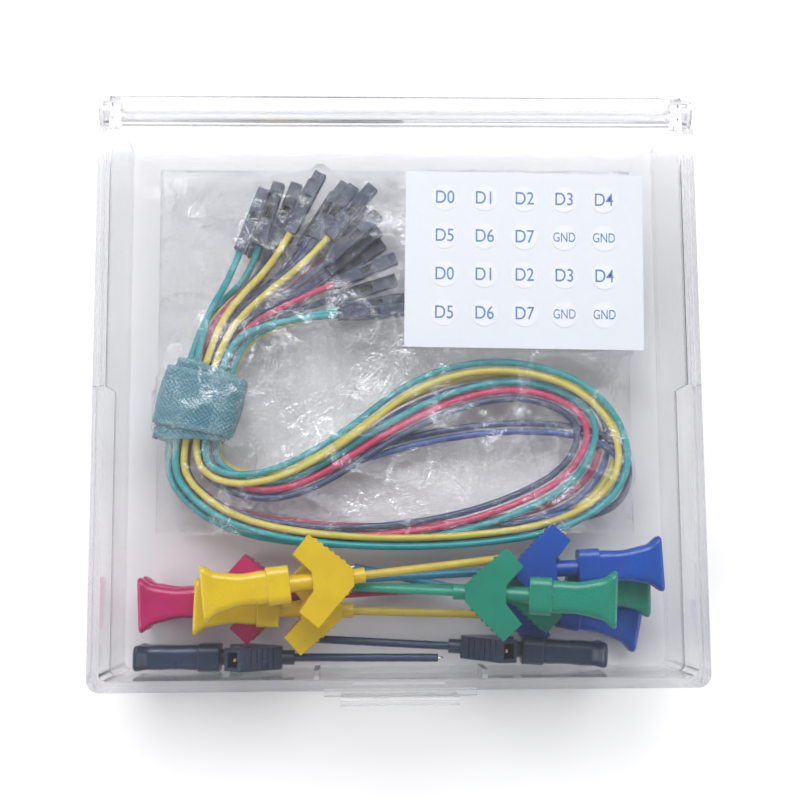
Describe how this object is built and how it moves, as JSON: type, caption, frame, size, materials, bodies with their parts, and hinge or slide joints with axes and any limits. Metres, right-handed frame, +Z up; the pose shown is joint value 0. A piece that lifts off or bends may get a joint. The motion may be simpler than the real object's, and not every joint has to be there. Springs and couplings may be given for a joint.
{
  "type": "jumper lead and hook clip kit for a logic analyzer",
  "caption": "Clear hinged case holding bundled jumper leads, spring-loaded hook test clips and a sheet of round channel labels for a logic analyzer.",
  "frame": {"origin": "centre of the case at its bottom face", "axes": "+X to the right, +Y from the latch towards the hinge, +Z up"},
  "size_m": [0.115, 0.1184, 0.03],
  "materials": {
    "clear_case": "clear injection-moulded polypropylene, slightly milky",
    "clip_yellow": "glossy moulded plastic",
    "clip_red": "glossy moulded plastic",
    "clip_black": "glossy moulded plastic",
    "clip_green": "glossy moulded plastic",
    "clip_blue": "glossy moulded plastic",
    "lead_yellow": "extruded soft PVC insulation",
    "lead_red": "extruded soft PVC insulation",
    "lead_black": "extruded soft PVC insulation",
    "lead_green": "extruded soft PVC insulation",
    "lead_blue": "extruded soft PVC insulation",
    "hook_wire": "bright plated spring wire",
    "spring_wire": "bright spring wire",
    "sleeve": "extruded plastic sleeve, one colour per clip",
    "contact_metal": "stamped and drawn brass, gold coloured",
    "housing_plastic": "black moulded nylon",
    "strap_cloth": "brushed hook-and-loop cloth",
    "bag_film": "thin clear film, crinkled",
    "label_paper": "smooth white release paper",
    "label_print": "matt white label stock with blue print"
  },
  "bodies": {
    "case": {"case_tray": "clear_case", "clip_sleeves": "sleeve", "metal_contacts": "contact_metal", "lead_housings": "housing_plastic", "strap": "strap_cloth", "poly_bag": "bag_film", "label_sheet": "label_paper", "label_stickers": "label_print", "lead_yellow_a": "lead_yellow", "lead_blue_a": "lead_blue", "lead_red_a": "lead_red", "lead_black_a": "lead_black", "lead_blue_b": "lead_blue", "lead_green_a": "lead_green", "lead_red_b": "lead_red", "lead_black_b": "lead_black", "lead_green_b": "lead_green", "lead_yellow_b": "lead_yellow", "clip_body_yellow_a": "clip_yellow", "clip_spring_yellow_a": "spring_wire", "clip_body_yellow_b": "clip_yellow", "clip_spring_yellow_b": "spring_wire", "clip_body_red_a": "clip_red", "clip_spring_red_a": "spring_wire", "clip_body_red_b": "clip_red", "clip_spring_red_b": "spring_wire", "clip_body_black_a": "clip_black", "clip_spring_black_a": "spring_wire", "clip_body_green_a": "clip_green", "clip_spring_green_a": "spring_wire", "clip_body_green_b": "clip_green", "clip_spring_green_b": "spring_wire", "clip_body_blue_a": "clip_blue", "clip_spring_blue_a": "spring_wire", "clip_body_blue_b": "clip_blue", "clip_spring_blue_b": "spring_wire", "clip_body_black_b": "clip_black", "clip_spring_black_b": "spring_wire"},
    "lid": {"case_lid": "clear_case"},
    "latch": {"front_latch": "clear_case"},
    "plunger_yellow_a": {"clip_plunger_yellow_a": "clip_yellow", "clip_hook_yellow_a": "hook_wire"},
    "plunger_yellow_b": {"clip_plunger_yellow_b": "clip_yellow", "clip_hook_yellow_b": "hook_wire"},
    "plunger_red_a": {"clip_plunger_red_a": "clip_red", "clip_hook_red_a": "hook_wire"},
    "plunger_red_b": {"clip_plunger_red_b": "clip_red", "clip_hook_red_b": "hook_wire"},
    "plunger_black_a": {"clip_plunger_black_a": "clip_black", "clip_hook_black_a": "hook_wire"},
    "plunger_green_a": {"clip_plunger_green_a": "clip_green", "clip_hook_green_a": "hook_wire"},
    "plunger_green_b": {"clip_plunger_green_b": "clip_green", "clip_hook_green_b": "hook_wire"},
    "plunger_blue_a": {"clip_plunger_blue_a": "clip_blue", "clip_hook_blue_a": "hook_wire"},
    "plunger_blue_b": {"clip_plunger_blue_b": "clip_blue", "clip_hook_blue_b": "hook_wire"},
    "plunger_black_b": {"clip_plunger_black_b": "clip_black", "clip_hook_black_b": "hook_wire"}
  },
  "joints": [
    {"name": "lid_hinge", "type": "hinge", "parent": "case", "child": "lid", "pos_m": [0, 0.0536, 0.0266], "axis": [-1, 0, 0], "range_deg": [0, 175]},
    {"name": "latch_flex", "type": "hinge", "parent": "lid", "child": "latch", "pos_m": [0, -0.0593, 0.026], "axis": [-1, 0, 0], "range_deg": [0, 75], "stiffness_Nm_per_rad": 0.01},
    {"name": "press_yellow_a", "type": "slide", "parent": "case", "child": "plunger_yellow_a", "axis": [0.9868, 0.1072, -0.1211], "range_m": [0, 0.0024], "stiffness_N_per_m": 600, "springref_m": -0.002, "deforming": ["clip_spring_yellow_a"]},
    {"name": "press_yellow_b", "type": "slide", "parent": "case", "child": "plunger_yellow_b", "axis": [0.9938, -0.0382, -0.1044], "range_m": [0, 0.0024], "stiffness_N_per_m": 600, "springref_m": -0.002, "deforming": ["clip_spring_yellow_b"]},
    {"name": "press_red_a", "type": "slide", "parent": "case", "child": "plunger_red_a", "axis": [0.9972, 0.0453, -0.0599], "range_m": [0, 0.0024], "stiffness_N_per_m": 600, "springref_m": -0.002, "deforming": ["clip_spring_red_a"]},
    {"name": "press_red_b", "type": "slide", "parent": "case", "child": "plunger_red_b", "axis": [0.9989, 0.0454, -0.01], "range_m": [0, 0.0024], "stiffness_N_per_m": 600, "springref_m": -0.002, "deforming": ["clip_spring_red_b"]},
    {"name": "press_black_a", "type": "slide", "parent": "case", "child": "plunger_black_a", "axis": [0.9999, -0.0105, 0], "range_m": [0, 0.0024], "stiffness_N_per_m": 600, "springref_m": -0.002, "deforming": ["clip_spring_black_a"]},
    {"name": "press_green_a", "type": "slide", "parent": "case", "child": "plunger_green_a", "axis": [-0.9909, 0.0519, -0.124], "range_m": [0, 0.0024], "stiffness_N_per_m": 600, "springref_m": -0.002, "deforming": ["clip_spring_green_a"]},
    {"name": "press_green_b", "type": "slide", "parent": "case", "child": "plunger_green_b", "axis": [-0.9998, 0.0175, 0], "range_m": [0, 0.0024], "stiffness_N_per_m": 600, "springref_m": -0.002, "deforming": ["clip_spring_green_b"]},
    {"name": "press_blue_a", "type": "slide", "parent": "case", "child": "plunger_blue_a", "axis": [-0.9978, -0.0436, -0.0499], "range_m": [0, 0.0024], "stiffness_N_per_m": 600, "springref_m": -0.002, "deforming": ["clip_spring_blue_a"]},
    {"name": "press_blue_b", "type": "slide", "parent": "case", "child": "plunger_blue_b", "axis": [-0.9775, 0.2078, 0.035], "range_m": [0, 0.0024], "stiffness_N_per_m": 600, "springref_m": -0.002, "deforming": ["clip_spring_blue_b"]},
    {"name": "press_black_b", "type": "slide", "parent": "case", "child": "plunger_black_b", "axis": [-0.9972, 0.0558, -0.0499], "range_m": [0, 0.0024], "stiffness_N_per_m": 600, "springref_m": -0.002, "deforming": ["clip_spring_black_b"]}
  ]
}
